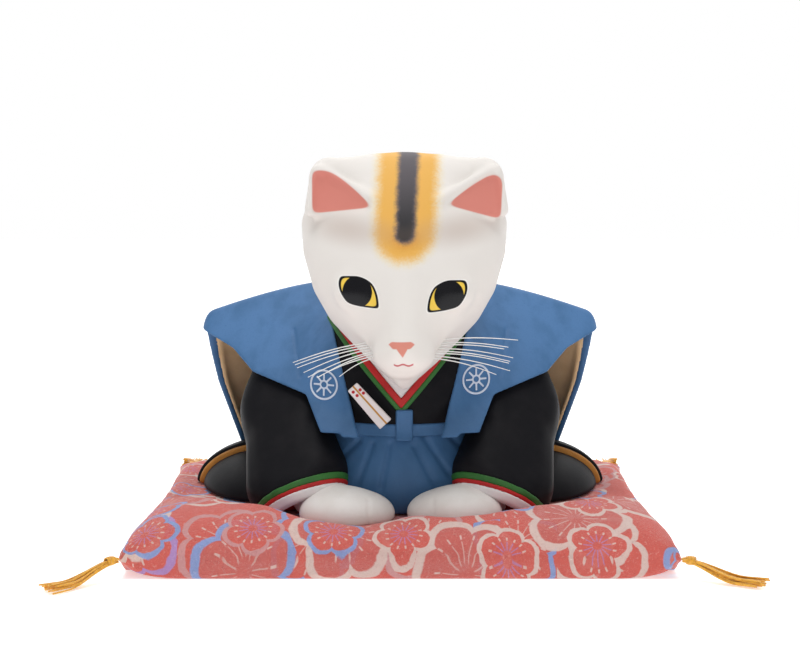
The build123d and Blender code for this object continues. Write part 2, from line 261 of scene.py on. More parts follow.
class Paint:
    """A painted surface: a base colour, layers over it, and a fine bump."""

    def __init__(self, name, color, roughness=0.6, specular=0.3, coat=0.0):
        self.material = bpy.data.materials.new(name)
        self.material.use_nodes = True
        self.tree = self.material.node_tree
        self.shader = self.tree.nodes["Principled BSDF"]
        self.shader.inputs["Roughness"].default_value = roughness
        self.shader.inputs["Specular IOR Level"].default_value = specular
        self.shader.inputs["Coat Weight"].default_value = coat
        self.color = self.rgb(color)
        self.height = None
        self.roughness = None
        coords = self.tree.nodes.new("ShaderNodeTexCoord")
        scaled = self.tree.nodes.new("ShaderNodeVectorMath")
        scaled.operation = "SCALE"
        scaled.inputs["Scale"].default_value = 1000.0
        self.tree.links.new(coords.outputs["Object"], scaled.inputs[0])
        self.place = scaled.outputs[0]
        parts = self.tree.nodes.new("ShaderNodeSeparateXYZ")
        self.tree.links.new(self.place, parts.inputs[0])
        self.x, self.y, self.z = (Value(self.tree, parts.outputs[i]) for i in range(3))

    def rgb(self, color):
        node = self.tree.nodes.new("ShaderNodeRGB")
        node.outputs[0].default_value = (*color, 1.0)
        return node.outputs[0]

    def noise(self, scale, detail=3.0, rough=0.5, stretch=None, distortion=0.0):
        """Noise of 0 to 1 whose blobs are about 1/scale mm across."""
        node = self.tree.nodes.new("ShaderNodeTexNoise")
        node.inputs["Scale"].default_value = scale
        node.inputs["Detail"].default_value = detail
        node.inputs["Roughness"].default_value = rough
        node.inputs["Distortion"].default_value = distortion
        source = self.place
        if stretch:
            mapping = self.tree.nodes.new("ShaderNodeVectorMath")
            mapping.operation = "MULTIPLY"
            mapping.inputs[1].default_value = stretch
            self.tree.links.new(source, mapping.inputs[0])
            source = mapping.outputs[0]
        self.tree.links.new(source, node.inputs["Vector"])
        return Value(self.tree, node.outputs["Fac"])

    def over(self, color, mask, blend="MIX"):
        """Lays a colour over what is there, where the mask is 1."""
        node = self.tree.nodes.new("ShaderNodeMix")
        node.data_type = "RGBA"
        node.blend_type = blend
        self.tree.links.new(mask.socket, node.inputs[0])
        self.tree.links.new(self.color, node.inputs[6])
        source = color if isinstance(color, bpy.types.NodeSocket) else self.rgb(color)
        self.tree.links.new(source, node.inputs[7])
        self.color = node.outputs[2]

    def done(self, bump=0.3, distance=0.15):
        links = self.tree.links
        links.new(self.color, self.shader.inputs["Base Color"])
        if self.roughness is not None:
            links.new(self.roughness.socket, self.shader.inputs["Roughness"])
        if self.height is not None:
            node = self.tree.nodes.new("ShaderNodeBump")
            node.inputs["Strength"].default_value = bump
            node.inputs["Distance"].default_value = distance * MM
            links.new(self.height.socket, node.inputs["Height"])
            links.new(node.outputs[0], self.shader.inputs["Normal"])
        return self.material


def inside_polygon(paint, corners, soft, blend=0.0):
    """1 inside a convex outline in the front view; its corners run clockwise."""
    mask = None
    for index, (x0, z0) in enumerate(corners):
        x1, z1 = corners[(index + 1) % len(corners)]
        length = math.hypot(x1 - x0, z1 - z0)
        nx, nz = (z1 - z0) / length, -(x1 - x0) / length
        depth = (paint.x - x0) * nx + (paint.z - z0) * nz
        mask = depth if mask is None else mask.least(depth, blend)
    return mask.ramp(-soft, soft)


def inside_oval(paint, center, radii, soft, tilt=0.0):
    cos_t, sin_t = math.cos(tilt), math.sin(tilt)
    dx, dz = paint.x - center[0], paint.z - center[1]
    u = (dx * cos_t + dz * sin_t) / radii[0]
    v = (dz * cos_t - dx * sin_t) / radii[1]
    distance = (u * u + v * v).root()
    edge = soft / min(radii)
    return distance.ramp(1 - edge, 1 + edge).inverse()


# ---- the head ----------------------------------------------------------------

HEAD_X = 1.5
HEAD_Y, HEAD_Z = -42, 98               # the head's middle
BOW_COS, BOW_SIN = 0.8, 0.6            # how far the head's axis is bowed
HEAD_HALF = 45                         # half its length, from chin to crown
# half widths of the head along its bowed axis, from the chin to the crown
HEAD_STATIONS = [-45, -43, -40, -36, -30, -23, -15, -6, 7, 18, 27, 35, 40, 43.5, 45]
HEAD_WIDTHS = [1, 2.5, 4.5, 7.6, 13.8, 20.3, 27.2, 31.8, 35.2, 36.0, 34.0, 28, 21.5, 13, 5]


def head_egg(p):
    x, y, z = p
    v = (y - HEAD_Y) * BOW_COS - (z - HEAD_Z) * BOW_SIN
    s = (y - HEAD_Y) * BOW_SIN + (z - HEAD_Z) * BOW_COS
    t = s / HEAD_HALF
    taper = np.sqrt(np.clip(1 - t * t, 0.002, 1))
    width = np.interp(s, HEAD_STATIONS, HEAD_WIDTHS)
    depth = np.where(v < 0, 25.2 * (1 + 0.12 * t), 30.8) * taper
    q = np.sqrt(((x - HEAD_X) / width) ** 2 + (v / depth) ** 2)
    return smax((q - 1) * np.minimum(width, depth) * 0.9, np.maximum(s - 44.6, -42.0 - s), 2.0)


def head_field(p):
    d = head_egg(p)
    for side in (-1, 1):
        d = smin(d, ellipsoid(p, (1.1 + side * 4.0, -69.6, 70.8), (5.6, 5.8, 4.6)), 8)
        d = smin(d, ellipsoid(p, (1.2 + side * 15.2, -62.0, 91.0), (8.2, 5.0, 6.4)), 4)
    d = smin(d, ellipsoid(p, (0.6, -67.5, 67.4), (5.2, 4.8, 3.8)), 3)
    d = smin(d, round_cone(p, (1.6, -66.0, 96.0), (0.9, -74.0, 75.0), 4.5, 3.0), 6)
    d = smin(d, ellipsoid(p, (0.9, -76.2, 73.6), (3.6, 2.0, 2.2)), 2)
    for side in (-1, 1):
        mid = HEAD_X + (1.5 if side > 0 else 0.0)
        apex = (mid + side * 29.4, -43.5, 130.8)
        inner = (mid + side * 10.6, -52.5, 120.6)
        outer = (mid + side * 31.2, -46.5, 118.6)
        ear = triangle(p, apex, inner, outer) - 3.0
        root, tip = (mid + side * 14.0, -31.0, 125.0), (mid + side * 25.5, -37.5, 128.6)
        back = round_cone(p, root, tip, 11.2, 7.6)
        d = smin(d, back, 5)
        d = smin(d, ear, 2.0)
        scoop_apex = (mid + side * 28.3, -49.2, 128.8)
        scoop_inner = (mid + side * 15.0, -56.3, 121.6)
        scoop_outer = (mid + side * 29.8, -51.6, 119.9)
        scoop = triangle(p, scoop_apex, scoop_inner, scoop_outer) - 3.5
        d = smax(d, -scoop, 1.0)
    return d


def make_cat_paint():
    paint = Paint("painted_white", (0.80, 0.76, 0.72), roughness=0.62, specular=0.25)
    before_ears = (paint.y + 14.0).ramp(-6, 6).inverse()
    # orange patch with a black stripe, from the brow back over the crown
    middle = (paint.z - 101.0) * 0.055 + 1.1
    wander = (paint.noise(0.25) - 0.5) * 1.6

    def down_to(end):
        """Distance from the stripe's middle line, which stops at a height."""
        below = (paint.z * -1.0 + end).most(0.0)
        off = paint.x - middle
        return (off * off + below * below).root() + wander
    outer = down_to(112.0)
    speckle = (paint.noise(1.1, 3.0, 0.7) - 0.5) * 2.6
    paint.over((0.84, 0.66, 0.30), (outer + speckle).ramp(8.6, 13.6).inverse() * 0.7)
    paint.over((0.80, 0.42, 0.07), (outer + speckle).ramp(7.6, 12.0).inverse() * 0.95)
    low_down = paint.z.ramp(116.0, 104.0)
    paint.over((0.62, 0.25, 0.025), (outer + speckle).ramp(3.2, 8.4).inverse() * low_down * 0.8)
    stroke = down_to(111.2) + speckle * 0.5
    paint.over((0.085, 0.088, 0.12), stroke.ramp(2.2, 4.8).inverse() * 0.95)
    fade = paint.z.ramp(108.0, 136.0) * -0.8 + 1.0
    paint.over((0.014, 0.014, 0.016), stroke.ramp(1.6, 4.0).inverse() * fade)
    # brown shading sprayed under the ears, which is also painted shade where the ears overhang the
    # brow
    for side in (-1, 1):
        under_ear_shade = inside_oval(paint, (HEAD_X + side * 18.0, 112.2), (11.5, 4.2), 4.0, side * 0.12)
        paint.over((0.42, 0.30, 0.24), under_ear_shade * before_ears * 0.42)
    # ears
    pink = (0.68, 0.235, 0.19)
    left_ear = [(-30.2, 131.8), (-24.8, 132.2), (-17.0, 127.6), (-9.4, 119.6), (-30.0, 117.2)]
    right_ear = [(16.0, 120.4), (26.0, 128.4), (32.4, 131.0), (35.2, 129.4), (34.4, 115.2)]
    in_scoop = (paint.y + 41.0).ramp(-1.5, 1.5).inverse()
    for ear in (left_ear, right_ear):
        paint.over((0.60, 0.45, 0.38), inside_polygon(paint, ear, 0.6, 2.0) * in_scoop * 0.35)
        paint.over(pink, inside_polygon(paint, ear, 0.25, 4.0) * in_scoop)
    return paint


EYE_OUTLINE = [(-7.0, 3.2), (-6.2, 5.0), (0.4, 5.3), (4.6, 3.2), (6.7, -1.0), (6.9, -5.3),
               (1.4, -5.3), (-3.8, -3.9), (-6.5, 0.0)]
# side, middle of the eye, middle of its pupil
EYES = ((-1, (-13.9, 92.0), (-14.3, 92.0)), (1, (15.9, 90.7), (16.4, 90.6)))


def almond(paint, side, center, grow):
    """1 inside an eye's outline, grown about its middle."""
    points = [(center[0] - side * x * grow, center[1] + z * grow) for x, z in EYE_OUTLINE]
    return inside_polygon(paint, points if side < 0 else points[::-1], 0.12, 1.8)


def finish_face(paint):
    """Eyes, nose and mouth as painted."""
    front = (paint.y + 50.0).ramp(-2, 2).inverse()
    gloss = None
    for side, center, pupil_center in EYES:
        paint.over((0.93, 0.91, 0.88), almond(paint, side, center, 1.06) * front * 0.6)
        outline = almond(paint, side, center, 1.0)
        paint.over((0.008, 0.008, 0.01), outline * front)
        paint.over((0.88, 0.60, 0.09), almond(paint, side, center, 0.88) * front)
        pupil = inside_oval(paint, pupil_center, (5.0, 5.3), 0.12)
        paint.over((0.006, 0.006, 0.008), pupil * outline * front)
        gloss = outline * front if gloss is None else gloss.most(outline * front)
    nose_pad = [(-3.8, 75.4), (-2.8, 76.3), (3.7, 76.4), (4.9, 75.5), (3.4, 74.1), (-2.4, 74.0)]
    nose = inside_polygon(paint, nose_pad, 0.2, 0.5)
    stem = inside_polygon(paint, [(-1.9, 75.0), (3.0, 75.0), (0.9, 71.2)], 0.2, 0.4)
    paint.over((0.70, 0.26, 0.20), nose.most(stem) * front)
    arch = (paint.x - 1.0) * 1.7
    mouth_line = (paint.z - arch.math("COSINE") * 0.28 - 68.5).size().ramp(0.22, 0.42).inverse()
    mouth = mouth_line * (paint.x - 1.2).size().ramp(3.0, 3.5).inverse()
    paint.over((0.50, 0.06, 0.07), mouth * front * 0.9)
    paint.roughness = gloss * -0.40 + 0.62
    grain = paint.noise(2.2, 4.0, 0.65)
    paint.height = grain + paint.noise(0.35, 2.0) * 0.8
    return paint.done(0.28, 0.12)


def plain_paint(name, color, dark, roughness=0.55, streak=None, bump=0.3, specular=0.3,
                low=0.0):
    """A brushed matte paint: slow colour change, fine grain and faint strokes, and, when low is
    above 0, painted shade that darkens it towards the bottom.
    """
    paint = Paint(name, color, roughness, specular)
    paint.over(dark, paint.noise(0.12, 3.0, 0.55, streak).ramp(0.38, 0.72) * 0.55)
    paint.over(dark, paint.noise(1.6, 3.0, 0.6).ramp(0.5, 0.8) * 0.35)
    # painted shade: the lower parts darkened, where less light falls
    if low:
        painted_shade = tuple(c * 0.7 for c in dark)
        paint.over(painted_shade, paint.z.ramp(24.0, 74.0).inverse() * low)
    fine = paint.noise(2.4, 4.0, 0.65)
    paint.height = fine + paint.noise(0.5, 2.0) * 0.7
    paint.roughness = fine * 0.16 + (roughness - 0.08)
    return paint.done(bump, 0.12)


PAINTS = {
    "white": finish_face(make_cat_paint()),
    "paw": plain_paint("painted_paw", (0.80, 0.77, 0.74), (0.70, 0.66, 0.62), 0.62),
    # the blue gets painted shade towards the bottom (low=0.6)
    "blue": plain_paint("painted_blue", (0.072, 0.185, 0.39), (0.035, 0.115, 0.25),
                        0.55, (1, 1, 0.25), low=0.6),
    "black": plain_paint("painted_black", (0.008, 0.008, 0.010), (0.014, 0.013, 0.015),
                         0.5, specular=0.07),
    "red": plain_paint("painted_red", (0.48, 0.018, 0.018), (0.34, 0.01, 0.012), 0.5),
    "green": plain_paint("painted_green", (0.035, 0.16, 0.03), (0.02, 0.10, 0.02), 0.5),
    "trim": plain_paint("painted_trim", (0.78, 0.75, 0.75), (0.68, 0.64, 0.64), 0.6),
    "beige": plain_paint("painted_beige", (0.72, 0.50, 0.28), (0.58, 0.38, 0.20), 0.6),
    "ochre": plain_paint("painted_ochre", (0.50, 0.21, 0.035), (0.36, 0.14, 0.02), 0.55),
    "crest": plain_paint("painted_crest", (0.62, 0.68, 0.80), (0.52, 0.58, 0.72), 0.6),
}


# ---- the body ------------------------------------------------------------------

def above_floor(p, d):
    return smax(d, (FLOOR + 0.2) - p[2], 1.2)


def trunk_field(p):
    return ellipsoid(p, (0, 1, 50), (40, 45, 38))


def lap_field(p):
    return ellipsoid(p, (0, -22, 22), (31, 29, 26))


def hakama_field(p):
    lap = lap_field(p)
    seat = ellipsoid(p, (0, 17, 16), (55, 46, 34))
    d = smin(smin(lap, seat, 10), trunk_field(p), 6)
    front = np.maximum(p[1] + 20, 0)
    pleats = [((-14, 37.5), (-21.5, 30.0)), ((-9.5, 36.5), (-15.0, 22.0)),
              ((-3.6, 36.5), (-6.5, 22.0)), ((5.0, 36.0), (12.5, 22.0)),
              ((8.0, 39.5), (17.5, 25.5)), ((17.5, 38.5), (21.5, 34.0))]
    for start, end in pleats:
        groove = segment_xz(p, start, end) + front
        d = d + 0.9 * np.exp(-(groove / 0.9) ** 2)
    back = np.maximum(20 - p[1], 0)
    for x in (-30, -19, -8, 8, 19, 30):
        groove = np.abs(p[0] - x * (1 + (48 - p[2]) * 0.012)) + back
        d = d + 0.9 * np.exp(-(groove / 1.0) ** 2)
    return d


def ridge_height(x):
    """Height of the fold over the shoulders, falling to the wing tips."""
    return 90.2 - 10.8 * np.clip((np.abs(x) - 30) / 42, 0, 1.2) ** 1.3


VEST_THICKNESS = 2.3
VEST_HEM = 22.5                        # height of the back panel's lower edge


def vest_side(z):
    """Half the vest's width at a height."""
    return np.interp(z, [10, 22, 50, 71, 79, 90], [57, 60.5, 69, 73.2, 72.2, 70])


def back_panel_edge(z):
    """How far forward the back panel reaches at a height."""
    return 8 + (75 - z) * 0.44


def vest_tent(p):
    """The closed shape that the stiff vest is the skin of."""
    x, y, z = p
    ax = np.abs(x)
    drop = np.maximum(ridge_height(x) - z, 0.0)
    front_reach = drop * np.clip(1.25 - 0.006 * ax, 0.7, 1.25)
    back_full = np.clip(60 - 22 * (ax / 60) ** 2, 28, 60)
    back_reach = back_full * (drop / 62) ** 0.72
    front = (5 - front_reach - y) * 0.66
    back = (y - 5 - back_reach) * 0.75
    side = ax - vest_side(z)
    top = (z - ridge_height(x)) * 0.97
    d = smax(smax(front, back, 4), top, 3)
    d = smin(d, trunk_field(p) - 1.6, 5)
    return smax(d, side, 3.5)


def vest_skin(p, thickness):
    tent = vest_tent(p)
    return np.abs(tent + thickness / 2) - thickness / 2


def vest_field(p):
    x, y, z = p
    ax = np.abs(x)
    skin = vest_skin(p, VEST_THICKNESS)
    # the back panel, down to the hem
    back_edge = back_panel_edge(z) - y
    back = smax(smax(skin, back_edge * 0.85, 0.8), VEST_HEM - z, 0.8)
    # the front panels, cut along the lower edge of the wings and beside the collar
    lower = np.interp(ax, [20, 33.5, 53, 72.5, 80], [40, 52.5, 58.6, 77.0, 80])
    lapel = ax - np.interp(z, [38, 42, 53, 80], [26, 28, 33.5, 90])
    low_cut = np.minimum((lower - z) * 0.9, np.maximum(lapel, (41.0 - z)))
    inner = np.interp(z, [40, 44, 76, 90], [14.0, 15.5, 24.0, 27.0]) - ax
    front = smax(smax(skin, low_cut, 0.8), inner * 0.95, 0.8)
    front = smax(front, y - 6, 0.5)
    crease = segment_xz((ax, y, z), (38.5, 73), (35.6, 58)) + np.maximum(y + 4, 0)
    front = front + 0.5 * np.exp(-(crease / 0.5) ** 2)
    d = np.minimum(back, front)
    shoulder = smax(skin, np.maximum(np.abs(y - 5) - 6, 75.5 - z), 0.5)
    neck = 16 - ax
    return np.minimum(d, smax(shoulder, neck, 1))


def lining_field(p):
    x, y, z = p
    tent = vest_tent(p)
    skin = np.abs(tent + VEST_THICKNESS + 0.5) - 0.7
    side = np.abs(x) - (vest_side(z) - 1.9)
    edge = back_panel_edge(z) - y
    return smax(smax(skin, side, 0.4), np.maximum(edge, 24.0 - z), 0.4)


def sleeve_raw(p, side):
    x = p[0] * side
    q = (x, p[1], p[2])
    upper = round_cone(q, (38.5, 0, 62), (41, -16, 44), 14.5, 14.8)
    lower = round_cone(q, (41, -16, 44), (37.5, -41, 22), 14.8, 16.5)
    inner = round_cone(q, (37, -24, 44), (29, -42, 26), 8.0, 11.0)
    d = smin(smin(upper, lower, 8), inner, 6)
    folds = (((39, 50), (46, 22), 0.9), ((31, 44), (40, 24), 0.7), ((53, 40), (49, 18), 0.6))
    for start, end, depth in folds:
        groove = segment_xz(q, start, end) + np.maximum(p[1] + 8, 0)
        d = d + depth * np.exp(-(groove / 2.2) ** 2)
    return d


MOUTH_POINT = (34.4, -46.5, 20.5)
MOUTH_LEAN = [-0.33, -0.48, -0.82]
MOUTH_AXIS = np.array(MOUTH_LEAN) / np.linalg.norm(MOUTH_LEAN)
SLEEVE_WALL = 2.4
CUFF_LIP = 4                           # a band that ends past this is hollowed out


def past_mouth(p, side):
    """How far a point is past the sleeve's mouth, towards the paw."""
    x = p[0] * side
    rel = (x - MOUTH_POINT[0], p[1] - MOUTH_POINT[1], p[2] - MOUTH_POINT[2])
    return sum(r * float(a) for r, a in zip(rel, MOUTH_AXIS))


def sleeve_field(side):
    def field(p):
        d = smax(sleeve_raw(p, side), vest_tent(p) + 2.7, 3)
        d = smax(d, past_mouth(p, side), 0.6)
        return above_floor(p, d)
    return field


def band_field(side, start, end, spread):
    def field(p):
        d = sleeve_raw(p, side) - spread
        past = past_mouth(p, side)
        d = smax(d, np.maximum(start - past, past - end), 0.5)
        hollow = sleeve_raw(p, side) + SLEEVE_WALL
        if end > CUFF_LIP:
            d = smax(d, -smax(hollow, 2.0 - past, 0.3), 0.5)
        return above_floor(p, d)
    return field


def paw_field(side):
    cx, cy = (-18.2, -57.0) if side < 0 else (18.8, -55.0)

    def field(p):
        x = (p[0] - cx) * side
        q = (x, p[1] - cy, p[2])
        d = ellipsoid(q, (0, 0, 14.8), (16.4, 12.6, 8.5))
        d = smin(d, round_cone(q, (0, 2, 15.2), (12, 12, 18), 7.0, 7.5), 4)
        groove = np.abs(x + 7.5) + np.maximum(p[1] - cy + 7, 0) * 0.7
        d = d + 0.35 * np.exp(-(groove / 0.7) ** 2)
        return above_floor(p, d)
    return field


def pouch_field(side, inset, front, back=60.0):
    def field(p):
        q = (p[0] * side, p[1], p[2])
        d = ellipsoid(q, (47.5, 12, FLOOR), (29.3 - inset, 40, 16.8 - inset))
        d = smax(d, front - p[1], 1.0)
        d = smax(d, p[1] - back, 1.0)
        return above_floor(p, d)
    return field


# ---- relief on the chest ---------------------------------------------------------

def chest_layer(p, height):
    """A layer of some height on the chest and lap."""
    return np.abs(smin(trunk_field(p), lap_field(p), 3) - height / 2) - height / 2


V_POINT, V_TOP, V_REACH = 49.3, 76.2, 23.2     # the neckline's point, its top, half its width


def collar_offset(p):
    """Distance below the V that the red band's lower edge follows."""
    ax = np.abs(p[0] - 0.4)
    slope = (V_TOP - V_POINT) / V_REACH
    return (V_POINT + ax * slope - p[2]) / math.hypot(1, slope)


def collar_field(start, end, height):
    def field(p):
        w = collar_offset(p)
        d = np.abs(w - (start + end) / 2) - (end - start) / 2
        d = smax(d, chest_layer(p, height), 0.45)
        return smax(d, p[1] + 14, 0.5)
    return field


def kimono_field(p):
    d = smax(chest_layer(p, 0.9), 42.5 - p[2], 0.4)
    d = smax(d, np.abs(p[0]) - 30, 0.5)
    return smax(d, p[1] + 12, 0.5)


def belt_field(p):
    low, high = 39.2, 43.6
    band = np.abs(p[2] - (low + high) / 2) - (high - low) / 2
    d = smax(chest_layer(p, 1.8), band, 0.8)
    return smax(smax(d, np.abs(p[0]) - 26, 0.6), p[1] + 15, 0.5)


def tie_field(p):
    d = smax(chest_layer(p, 3.0), np.abs(p[0] - 1.5) - 3.0, 0.9)
    return smax(d, np.abs(p[2] - 43.5) - 5.4, 0.9)


def crest_field(center):
    cx, cz = center

    def field(p):
        u, v = p[0] - cx, p[2] - cz
        r = np.sqrt(u * u + v * v)
        angle = np.arctan2(v, u)
        ring = np.abs(r - 4.7) - 0.34
        spokes = np.abs(np.sin(angle * 4)) * r / 4 - 0.30
        star = np.maximum(np.maximum(spokes, r - 3.7), 1.5 - r)
        dot = np.abs(r - 1.25) - 0.3
        flat = np.minimum(np.minimum(ring, star), dot)
        layer = np.abs(vest_tent(p) - 0.05) - 0.2
        return smax(smax(flat, layer, 0.15), p[1], 0.2)
    return field


CREST_ROOM = 6.5                       # half the side of the space a crest is worked out in


def make_figure():
    solid("cat_head", head_field, (-44, -84, 56), (46, 2, 142), 0.55, PAINTS["white"],
          ("head_shell", "ear_left", "ear_right"))
    solid("body_and_trousers", lambda p: above_floor(p, hakama_field(p)),
          (-60, -56, 10), (60, 68, 92), 0.7, PAINTS["blue"],
          ("hakama_shell", "trunk_shell", "neck_tube"))
    solid("stiff_vest", vest_field, (-78, -56, 18), (78, 70, 92), 0.6, PAINTS["blue"],
          ("vest_back", "vest_front_left", "vest_front_right"))
    solid("vest_lining", lining_field, (-76, 0, 20), (76, 70, 86), 0.6, PAINTS["beige"],
          ())
    solid("kimono_chest", kimono_field, (-32, -50, 40), (32, -8, 84), 0.45, PAINTS["black"],
          ("kimono_left", "kimono_right"))
    bands = {"white": (-15.0, -2.2, 2.0), "red": (-2.3, 0.0, 2.6), "green": (-0.1, 1.7, 2.0)}
    colors = {"white": "trim", "red": "red", "green": "green"}
    for name, (start, end, height) in bands.items():
        solid("neck_band_" + name, collar_field(start, end, height),
              (-28, -51, 42), (28, -10, 82), 0.35, PAINTS[colors[name]],
              ("collar_" + name,))
    solid("belt_front", belt_field, (-28, -52, 36), (28, -10, 47), 0.4, PAINTS["blue"],
          ("belt",))
    solid("tie_front", tie_field, (-5, -54, 36), (8, -36, 52), 0.35, PAINTS["blue"],
          ("tie",))
    for name, center in (("crest_left", (-26.8, 56.2)), ("crest_right", (26.9, 58.0))):
        low = (center[0] - CREST_ROOM, -48, center[1] - CREST_ROOM)
        high = (center[0] + CREST_ROOM, -18, center[1] + CREST_ROOM)
        solid(name, crest_field(center), low, high, 0.16, PAINTS["crest"], ())
    for name, side in (("left", -1), ("right", 1)):
        def span(low, high):
            xs = sorted((low[0] * side, high[0] * side))
            return (xs[0], low[1], low[2]), (xs[1], high[1], high[2])
        low, high = span((14, -66, 9), (64, 20, 84))
        solid("arm_sleeve_" + name, sleeve_field(side), low, high, 0.6, PAINTS["black"],
              ("sleeve_" + name,))
        low, high = span((8, -70, 9), (60, -20, 50))
        edges = {"green": (-0.1, 2.1, 0.15), "red": (2.0, 3.5, 0.3), "white": (3.4, 6.0, 0.55)}
        for color, (start, end, spread) in edges.items():
            solid(f"wrist_band_{color}_{name}", band_field(side, start, end, spread),
                  low, high, 0.45, PAINTS[colors[color]],
                  (f"cuff_{color}_{name}",))
        low, high = span((0.6, -74, 9), (46, -30, 34))
        solid("forepaw_" + name, paw_field(side), low, high, 0.5, PAINTS["paw"],
              ("paw_" + name,))
        low, high = span((14, -32, 9), (80, 58, 34))
        layers = {"pouch": (0.0, 11.5, "black", "kimono_black"),
                  "lining": (1.1, 9.0, "ochre", "lining_ochre"),
                  "fold": (2.9, -30.0, "black", "kimono_black")}
        for layer, (inset, front, color, slot) in layers.items():
            solid(f"hanging_{layer}_{name}", pouch_field(side, inset, front),
                  low, high, 0.6, PAINTS[color], (f"sleeve_{layer}_{name}",))


def make_fan():
    """The folded fan: a thin slat with a gold line and red dots."""
    paint = Paint("fan_paint", (0.74, 0.69, 0.69), 0.55)
    along = np.array([11.6, 0.0, -13.1])
    along = along / np.linalg.norm(along)
    across = np.array([along[2], 0.0, -along[0]])
    middle = np.array([-10.7, -48.5, 50.8])
    dx, dz = paint.x - float(middle[0]), paint.z - float(middle[2])
    u = dx * float(along[0]) + dz * float(along[2])
    v = dx * float(across[0]) + dz * float(across[2])
    line = (v + 0.4).size().ramp(0.22, 0.42).inverse()
    paint.over((0.48, 0.22, 0.03), line)
    for du, dv in ((-7.2, 0.9), (-5.4, 0.7), (-6.2, -1.4), (-4.6, -1.5)):
        dot = ((u - du) * (u - du) + (v - dv) * (v - dv)).root().ramp(0.45, 0.7).inverse()
        paint.over((0.42, 0.008, 0.015), dot)
    paint.height = paint.noise(2.0, 3.0)
    material = paint.done(0.2, 0.1)
    half = (8.7, 2.4, 0.9)
    edge = 0.4
    out = np.cross(across, along)

    def field(p):
        rel = [a - float(m) for a, m in zip(p, middle)]
        lu = sum(r * float(a) for r, a in zip(rel, along))
        lv = sum(r * float(a) for r, a in zip(rel, across))
        lw = sum(r * float(a) for r, a in zip(rel, out))
        q = [np.abs(lu) - half[0] + edge, np.abs(lv) - half[1] + edge - lu * 0.03,
             np.abs(lw) - half[2] + edge]
        outside = np.sqrt(sum(np.maximum(a, 0) ** 2 for a in q))
        return outside + np.minimum(np.maximum(np.maximum(q[0], q[1]), q[2]), 0) - edge
    solid("folded_fan", field, (-22, -52, 40), (2, -45, 62), 0.25, material,
          ("fan",))


def thread(name, lines, radius, material, roundness=1, taper=0.0):
    """Round strands along lines; each thins towards its end by the taper."""
    curve = bpy.data.curves.new(name, "CURVE")
    curve.dimensions = "3D"
    curve.bevel_depth = radius * MM
    curve.bevel_resolution = roundness
    curve.use_fill_caps = True
    for line in lines:
        spline = curve.splines.new("POLY")
        last = len(line) - 1
        spline.points.add(last)
        for index, (point, place) in enumerate(zip(spline.points, line)):
            point.co = (*(c * MM for c in place), 1)
            point.radius = 1.0 - taper * (index / last)
    obj = linked(name, curve)
    curve.materials.append(material)
    return obj


WHISKER_STEPS = 10
WHISKER_ARCH = 0.9


def make_whiskers():
    material = plain_paint("bristle", (0.85, 0.85, 0.83), (0.75, 0.75, 0.72), 0.35)
    # where each bristle starts and ends, in the front view
    sets = {
        "left": [
            ((-8.6, 74.6), (-36.0, 68.0)), ((-9.4, 73.6), (-35.3, 67.2)),
            ((-8.2, 73.0), (-34.6, 66.2)), ((-9.0, 72.2), (-32.4, 64.6)),
            ((-8.2, 71.4), (-31.0, 63.0)), ((-9.0, 70.6), (-27.8, 62.8)),
            ((-8.0, 69.8), (-28.0, 62.9)), ((-8.6, 69.0), (-20.4, 63.2))],
        "right": [
            ((10.4, 74.8), (39.6, 75.6)), ((11.0, 73.8), (36.4, 73.2)),
            ((10.0, 73.0), (35.0, 72.6)), ((10.8, 72.2), (38.0, 69.6)),
            ((10.0, 71.4), (37.0, 68.4)), ((10.6, 70.6), (36.6, 67.8)),
            ((9.8, 69.8), (37.0, 65.2)), ((10.4, 69.0), (32.4, 63.9))],
    }
    for name, ends in sets.items():
        lines = []
        for (x0, z0), (x1, z1) in ends:
            line = []
            for index in range(WHISKER_STEPS + 1):
                share = index / WHISKER_STEPS
                arch = WHISKER_ARCH * math.sin(share * math.pi)
                line.append((x0 + (x1 - x0) * share, -61.0 - 5.0 * share,
                             z0 + (z1 - z0) * share + arch))
            lines.append(line)
        obj = thread("bristles_" + name, lines, 0.24, material, 2, 0.55)
        finish_piece(obj, ("whiskers_" + name,))


# ---- the cushion -------------------------------------------------------------------

CUSHION_HIGH = np.array(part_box("cushion_cover")[1]) / MM
HALF = CUSHION_HIGH[0]                 # from the middle to a seam tip
SEAM = 6.5                             # height of the seam
SEAM_DROP = 3.0                        # how much lower it is at the back
UNDER_BULGE = 6.0                      # how far the lower cloth bulges past the drawn-in side
ROLL_RUN = 21.0                        # from the seam to the crest of the roll, in plan
ROLL_RISE = CUSHION_HIGH[2] + 1.2 - SEAM
ROLL_ARC = 27.0                        # the same, along the cloth
SIDE_PULL = 5.5
SEAT = FLOOR - 0.35


def pressed(x, y):
    """0 away from the figure to 1 under it."""
    # x and y of each part that rests on the cloth, and its half sizes
    feet = [(-18, -56, 20, 15), (19, -54, 20, 15), (-36, -44, 20, 15), (36, -44, 20, 15),
            (0, 18, 78, 50), (0, -30, 40, 30), (-50, -16, 30, 34), (50, -16, 30, 34)]
    near = None
    for cx, cy, rx, ry in feet:
        q = np.sqrt(((x - cx) / rx) ** 2 + ((y - cy) / ry) ** 2)
        gap = (q - 1) * min(rx, ry)
        near = gap if near is None else smin(near, gap, 6)
    return 1 - step_up(near, -1.5, 11.0)


